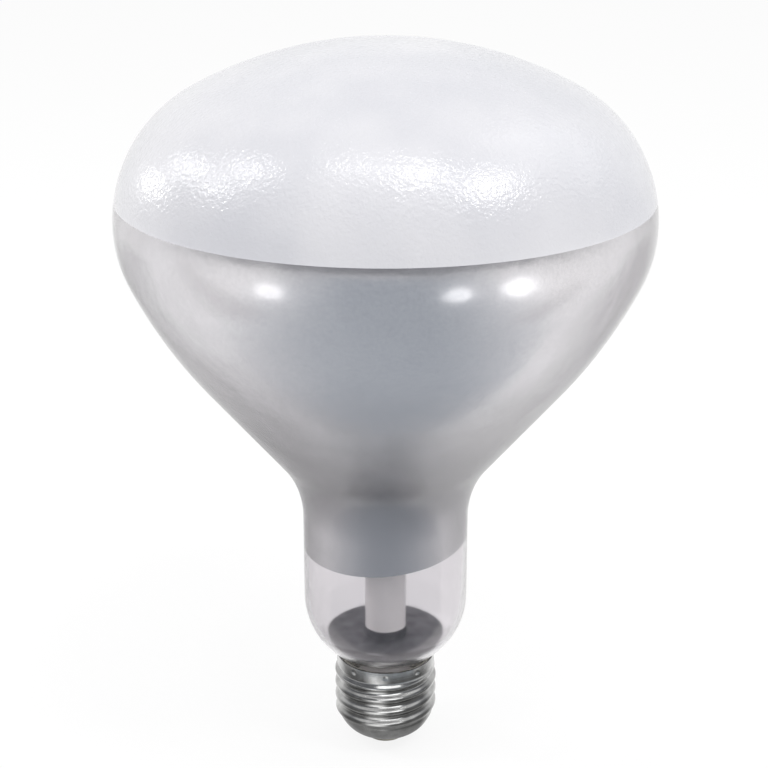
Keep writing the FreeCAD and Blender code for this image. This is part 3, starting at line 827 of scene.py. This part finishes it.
def woundFilament():
    low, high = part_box("filament")
    sweep = math.radians(360 - coil["gap"])
    turns = round(sweep * coil["ringRadius"] / coil["turnPitch"])
    sizes = {
        "Points": turns * coil["pointsPerTurn"] + 1,
        "Wire Sides": coil["wireSides"],
        "Turns": float(turns),
        "Ring Radius": coil["ringRadius"] * mm,
        "Ring Height": (low.z + high.z) / 2,
        "Start": math.radians(coil["gap"] / 2 - 90),
        "Sweep": sweep,
        "Coil Radius": coil["coilRadius"] * mm,
        "Wire Radius": coil["wireRadius"] * mm,
        "Sharp Angle": math.radians(coil["sharp"]),
        "Material": finishes["filamentWire"],
    }
    seed = bpy.data.meshes.new("coilSeed")
    growPiece("wound_filament", woundCoil, seed, sizes, "filament")


# The other solids keep their form: a joined, smooth copy stands for each
smoothSharp = 32.0
smoothPieces = {
    "stem_flare": ("stem_glass", "milkyStemGlass"),
    "exhaust_tube": ("stem_glass", "milkyStemGlass"),
    "arbor_rod": ("stem_glass", "milkyStemGlass"),
    "heat_shield": ("shield_steel", "darkShield"),
    "inner_lead_left": ("nickel_wire", "nickelWire"),
    "inner_lead_right": ("nickel_wire", "nickelWire"),
    "seal_wire_left": ("copper_wire", "copperWire"),
    "seal_wire_right": ("copper_wire", "copperWire"),
    "centre_lead": ("copper_wire", "copperWire"),
    "side_lead": ("copper_wire", "copperWire"),
    "filament_support_1": ("support_metal", "supportWire"),
    "filament_support_2": ("support_metal", "supportWire"),
    "filament_support_3": ("support_metal", "supportWire"),
    "capping_cement": ("cement", "cappingCement"),
    "base_insulator": ("black_glass", "blackBaseGlass"),
    "contact_eyelet": ("contact_metal", "contactBrass"),
    "contact_solder": ("solder", "greySolder"),
    "side_solder": ("solder", "greySolder"),
}


def smoothCopies():
    for node, (slotName, finish) in smoothPieces.items():
        sizes = {"Sharp Angle": math.radians(smoothSharp), "Material": finishes[finish]}
        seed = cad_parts[node].data.copy()
        seed.materials.clear()
        growPiece(node + "_smooth", smoothSolid, seed, sizes, node)


blownGlass()
filmLining()
screwShell()
woundFilament()
smoothCopies()
print("pieces made")


# Studio: even sky, pale floor, painted shade and glints on cards only mirrors see, and small soft lamps
whiteLight = (1.0, 1.0, 1.0, 1.0)
skySet = {
    "diffuse": 0.69,
    "frontLight": 0.6,  # more of it from the front
    "frontRise": (0.0, 0.9),
    "darkFront": (0.2, 0.205, 0.22),  # the room that mirrors see in front
    "darkUpTo": (0.6, 0.8),
    "turnOver": (0.05, 0.6),
}


def seenRay(tree):  # 1 for what the camera sees straight, mirrored or through glass
    path = put(tree, "ShaderNodeLightPath").outputs
    mirrored = calc(tree, "MAXIMUM", path["Is Glossy Ray"], path["Is Transmission Ray"])
    return calc(tree, "MAXIMUM", path["Is Camera Ray"], mirrored)


def setSky():
    world = bpy.data.worlds.new("studioSky")
    world.use_nodes = True
    world.cycles.sampling_method = "NONE"
    scene.world = world
    tree = world.node_tree
    tree.nodes.clear()
    way = splitAxes(tree, put(tree, "ShaderNodeTexCoord").outputs["Generated"])
    overhead = rampBetween(tree, way["Z"], *skySet["darkUpTo"])
    behind = rampBetween(tree, way["Y"], *skySet["turnOver"])
    direct = put(tree, "ShaderNodeLightPath").outputs["Is Camera Ray"]
    white = calc(tree, "MAXIMUM", calc(tree, "MAXIMUM", overhead, behind), direct)
    room = blendColours(tree, white, skySet["darkFront"], whiteLight[:3])
    front = rampBetween(tree, calc(tree, "MULTIPLY", way["Y"], -1.0), *skySet["frontRise"])
    strength = calc(tree, "ADD", skySet["diffuse"], calc(tree, "MULTIPLY", front, skySet["frontLight"]))
    lit = put(tree, "ShaderNodeBackground", {"Color": whiteLight, "Strength": strength})
    seen = put(tree, "ShaderNodeBackground", {"Color": room, "Strength": 1.0})
    mixed = mixShaders(tree, seenRay(tree), lit, seen)
    tree.links.new(mixed.outputs[0], put(tree, "ShaderNodeOutputWorld").inputs["Surface"])


def stageSheet(name, low, high, height):  # level sheet between two corners
    (left, near), (right, far) = low, high
    corners = [(left, near), (right, near), (right, far), (left, far)]
    mesh = bpy.data.meshes.new(name)
    mesh.from_pydata([Vector((x, y, height)) * mm for x, y in corners], [], [(0, 1, 2, 3)])
    sheet = bpy.data.objects.new(name, mesh)
    scene.collection.objects.link(sheet)
    return sheet


def startGlow(name):  # empty material whose glow isn't sampled as a lamp
    material, tree, shader = startFinish(name)
    material.cycles.emission_sampling = "NONE"
    tree.nodes.remove(shader)
    return material, tree


def mirrorOnly(card):  # seen in shiny surfaces alone
    card.visible_camera = False
    card.visible_diffuse = False
    card.visible_shadow = False


# Pale floor
floorSet = {"reach": 8000.0, "colour": (0.9, 0.9, 0.9), "glow": 0.85}


def setFloor():
    reach = floorSet["reach"]
    floor = stageSheet("paleFloor", (-reach, -reach), (reach, reach), 0.0)
    material, tree = startGlow("paleFloor")
    dull = put(tree, "ShaderNodeBsdfDiffuse", {"Color": (*floorSet["colour"], 1.0)})
    glow = put(tree, "ShaderNodeEmission", {"Color": whiteLight, "Strength": 1.0})
    mixed = mixShaders(tree, calc(tree, "MULTIPLY", seenRay(tree), floorSet["glow"]), dull, glow)
    tree.links.new(mixed.outputs[0], tree.nodes["Material Output"].inputs["Surface"])
    floor.data.materials.append(material)


def cardFinish(name, tone, cover):  # glowing card that fades out where cover(tree, x, y) falls to 0
    material, tree = startGlow(name)
    axes = splitAxes(tree, objectPlace(tree))
    glow = put(tree, "ShaderNodeEmission", {"Color": (*tone, 1.0), "Strength": 1.0})
    clear = put(tree, "ShaderNodeBsdfTransparent")
    mixed = mixShaders(tree, cover(tree, axes["X"], axes["Y"]), clear, glow)
    tree.links.new(mixed.outputs[0], tree.nodes["Material Output"].inputs["Surface"])
    return material


# Grey sheet that fans out over the floor in front, mirrored in the bowl: painted shade seen in mirrors alone
paintedShadeCard = {
    "reach": 3000.0,
    "near": -24.0,
    "height": 0.4,
    # tone: painted shade that the bowl mirrors
    "tone": (0.45, 0.487, 0.525),
    "axis": 10.0,
    "half": 85.0,  # half width at the lamp
    "spread": 0.62,  # growth of that with the distance
    "soft": 85.0,  # half width of its soft edge
    "softSpread": 0.45,
}


def setFloorCard():
    reach = paintedShadeCard["reach"]
    card = stageSheet("paintedShadeSheet", (-reach, -reach), (reach, paintedShadeCard["near"]), paintedShadeCard["height"])

    def cover(tree, x, y):
        off = calc(tree, "ABSOLUTE", calc(tree, "SUBTRACT", x, paintedShadeCard["axis"] * mm))
        out = calc(tree, "MULTIPLY", y, -paintedShadeCard["spread"])
        edge = calc(tree, "SUBTRACT", calc(tree, "SUBTRACT", off, paintedShadeCard["half"] * mm), out)
        fade = calc(tree, "ADD", paintedShadeCard["soft"] * mm, calc(tree, "MULTIPLY", y, -paintedShadeCard["softSpread"]))
        return calc(tree, "SUBTRACT", 1.0, rampBetween(tree, calc(tree, "DIVIDE", edge, fade), -1.0, 1.0))

    card.data.materials.append(cardFinish("paintedShadeSheet", paintedShadeCard["tone"], cover))
    mirrorOnly(card)


# Soft grey strokes on the floor, mirrored towards the edges of the bowl: painted reflections
paintedStrokeCard = {"low": (-1200.0, -400.0), "high": (1200.0, 600.0), "height": 0.6, "tone": (0.56, 0.55, 0.56)}
paintedStrokes = [  # start, end, half width from full to nothing, cover
    ((-230.0, -115.0), (-900.0, -60.0), (30.0, 90.0), 0.5),
    ((190.0, -108.0), (420.0, -70.0), (8.0, 42.0), 0.6),
    ((-74.0, 22.0), (-176.0, 223.0), (5.0, 95.0), 0.55),
    ((-220.0, 235.0), (-420.0, 275.0), (20.0, 190.0), 0.45),
    ((230.0, 140.0), (473.0, 315.0), (20.0, 200.0), 0.65),
]


def setFloorStrokes():
    card = stageSheet("paintedReflectionStrokes", paintedStrokeCard["low"], paintedStrokeCard["high"], paintedStrokeCard["height"])

    def cover(tree, x, y):
        total = 0.0
        for start, end, (full, none), share in paintedStrokes:
            run = (Vector(end) - Vector(start)) * mm
            offX = calc(tree, "SUBTRACT", x, start[0] * mm)
            offY = calc(tree, "SUBTRACT", y, start[1] * mm)
            dot = calc(tree, "ADD", calc(tree, "MULTIPLY", offX, run.x), calc(tree, "MULTIPLY", offY, run.y))
            along = calc(tree, "DIVIDE", dot, run.length_squared)
            along = calc(tree, "MINIMUM", calc(tree, "MAXIMUM", along, 0.0), 1.0)
            restX = calc(tree, "SUBTRACT", offX, calc(tree, "MULTIPLY", along, run.x))
            restY = calc(tree, "SUBTRACT", offY, calc(tree, "MULTIPLY", along, run.y))
            squareX = calc(tree, "MULTIPLY", restX, restX)
            squareY = calc(tree, "MULTIPLY", restY, restY)
            away = calc(tree, "SQRT", calc(tree, "ADD", squareX, squareY))
            near = calc(tree, "SUBTRACT", 1.0, rampBetween(tree, away, full * mm, none * mm))
            total = calc(tree, "MAXIMUM", total, calc(tree, "MULTIPLY", near, share))
        return total

    card.data.materials.append(cardFinish("paintedReflectionStrokes", paintedStrokeCard["tone"], cover))
    mirrorOnly(card)


# Low cup round the base, mirrored in it: painted shade, a painted highlight streak in front, a painted pale
# back
paintedShadeAndStreakCup = {
    "radius": 24.0,
    "bottom": 0.4,
    "top": 17.0,
    "segments": 64,
    "wallFrom": (1.0, 4.0),  # heights over which the floor's tone turns into the wall's
    # dark wall and floor tones: painted shade round the base
    "dark": 0.17,
    "floor": 0.35,
    # streak: glow of a painted highlight in front
    "paintedStreak": 1.5,
    "streakAt": -16.0,  # azimuth from the front
    "streakHalf": 26.0,
    "back": (70.0, 110.0),
}


def cupMesh():
    radius, segments = paintedShadeAndStreakCup["radius"] * mm, paintedShadeAndStreakCup["segments"]
    ring = [2 * math.pi * number / segments for number in range(segments)]
    heights = (paintedShadeAndStreakCup["bottom"] * mm, paintedShadeAndStreakCup["top"] * mm)
    spots = [(radius * math.cos(a), radius * math.sin(a), z) for z in heights for a in ring]
    walls = [(n, (n + 1) % segments, segments + (n + 1) % segments, segments + n) for n in range(segments)]
    mesh = bpy.data.meshes.new("paintedShadeAndStreakCup")
    mesh.from_pydata(spots, [], walls + [tuple(range(segments))])
    return mesh


def cupFinish():
    material, tree = startGlow("paintedShadeAndStreakCup")
    axes = splitAxes(tree, objectPlace(tree))
    # painted shade, with a painted highlight streak and a painted pale back, by azimuth and height
    azimuth = calc(tree, "DEGREES", calc(tree, "ARCTAN2", axes["X"], calc(tree, "MULTIPLY", axes["Y"], -1.0)))
    off = calc(tree, "ABSOLUTE", calc(tree, "SUBTRACT", azimuth, paintedShadeAndStreakCup["streakAt"]))
    paintedStreak = calc(tree, "SUBTRACT", 1.0, rampBetween(tree, off, 0.0, paintedShadeAndStreakCup["streakHalf"]))
    back = rampBetween(tree, calc(tree, "ABSOLUTE", azimuth), *paintedShadeAndStreakCup["back"])
    wall = rampBetween(tree, axes["Z"], *(height * mm for height in paintedShadeAndStreakCup["wallFrom"]))
    bright = calc(tree, "ADD", calc(tree, "MULTIPLY", paintedStreak, paintedShadeAndStreakCup["paintedStreak"]), back)
    sides = calc(tree, "MULTIPLY", calc(tree, "ADD", paintedShadeAndStreakCup["dark"], bright), wall)
    ground = calc(tree, "ADD", paintedShadeAndStreakCup["floor"], calc(tree, "MULTIPLY", back, 1.0 - paintedShadeAndStreakCup["floor"]))
    below = calc(tree, "MULTIPLY", calc(tree, "SUBTRACT", 1.0, wall), ground)
    tone = calc(tree, "ADD", sides, below)
    glow = put(tree, "ShaderNodeEmission", {"Color": whiteLight, "Strength": tone})
    tree.links.new(glow.outputs[0], tree.nodes["Material Output"].inputs["Surface"])
    return material


def setBaseCup():
    cup = bpy.data.objects.new("paintedShadeAndStreakCup", cupMesh())
    scene.collection.objects.link(cup)
    cup.data.materials.append(cupFinish())
    mirrorOnly(cup)
    cup.visible_transmission = False


# Lamps: each lights its own pieces
def lampPieces(name, pieces, state):  # the pieces that a lamp lights, or leaves out
    group = bpy.data.collections.new(name)
    for piece in pieces:
        group.objects.link(bpy.data.objects[piece])
    for item in group.collection_objects:
        item.light_linking.link_state = state
    return group


def hangLamp(name, shape, size, way, light, aim, linked):  # way: azimuth from the front, elevation, metres
    turn, lift, distance = math.radians(way[0]), math.radians(way[1]), way[2]
    away = Vector((math.sin(turn) * math.cos(lift), -math.cos(turn) * math.cos(lift), math.sin(lift)))
    data = bpy.data.lights.new(name, "AREA")
    data.shape = shape
    data.size, data.size_y = size
    data.energy = light * math.pi * distance**2
    lamp = bpy.data.objects.new(name, data)
    lamp.location = Vector(aim) * mm + away * distance
    lamp.rotation_euler = away.to_track_quat("Z", "Y").to_euler()
    lamp.visible_camera = False
    lamp.visible_transmission = False
    lamp.light_linking.receiver_collection = linked
    scene.collection.objects.link(lamp)


# Wide soft lamp in front, for the stem and the base alone
stripLamp = {"way": (8.0, 26.0, 1.0), "size": (0.9, 0.45), "light": 1.1, "aim": (0.0, 0.0, 40.0)}
stripPieces = ["rolled_shell", "stem_flare_smooth", "heat_shield_smooth"]
stripPieces += ["base_insulator_smooth", "contact_eyelet_smooth", "contact_solder_smooth"]


def setStripLamp():
    linked = lampPieces("litByStrip", stripPieces, "INCLUDE")
    size, way, light, aim = (stripLamp[name] for name in ("size", "way", "light", "aim"))
    hangLamp("softStrip", "RECTANGLE", size, way, light, aim, linked)


# Round lamps that glint in the face and the film
lampAim = (0.0, -40.0, 145.0)
faceLamps = [  # name, azimuth from the front, elevation, distance and radius in metres, light at the aim
    ("faceLeftLow", -119, 13, 0.9, 0.05, 0.19),
    ("faceLeftMid", -112, 30, 0.9, 0.035, 0.22),
    ("faceLeftA", -90, 34, 0.9, 0.035, 0.27),
    ("faceLeftB", -89, 49, 0.9, 0.05, 0.33),
    ("faceTopLeft", -39, 75, 0.9, 0.045, 0.19),
    ("faceTopRight", 31, 70, 0.9, 0.08, 0.52),
    ("faceRight", 62, 50, 0.9, 0.12, 0.74),
    ("faceRightBack", 112, 42, 0.9, 0.36, 0.48),
]
rimLamps = [
    ("rimLeft", -40, -12, 0.45, 0.012, 0.03),
    ("rimFront", 25, -12, 0.45, 0.006, 0.024),
    ("rimRight", 46, -11, 0.45, 0.014, 0.05),
]


def setLamps(lamps, pieces, state):
    linked = lampPieces(lamps[0][0] + "Pieces", pieces, state)
    for name, azimuth, elevation, distance, radius, light in lamps:
        way = (azimuth, elevation, distance)
        hangLamp(name, "DISK", (2 * radius, 2 * radius), way, light, lampAim, linked)


setSky()
setFloor()
setFloorCard()
setFloorStrokes()
setBaseCup()
setStripLamp()
setLamps(faceLamps, ["rolled_shell"], "EXCLUDE")
setLamps(rimLamps, ["mirror_lining"], "INCLUDE")
print("studio set")
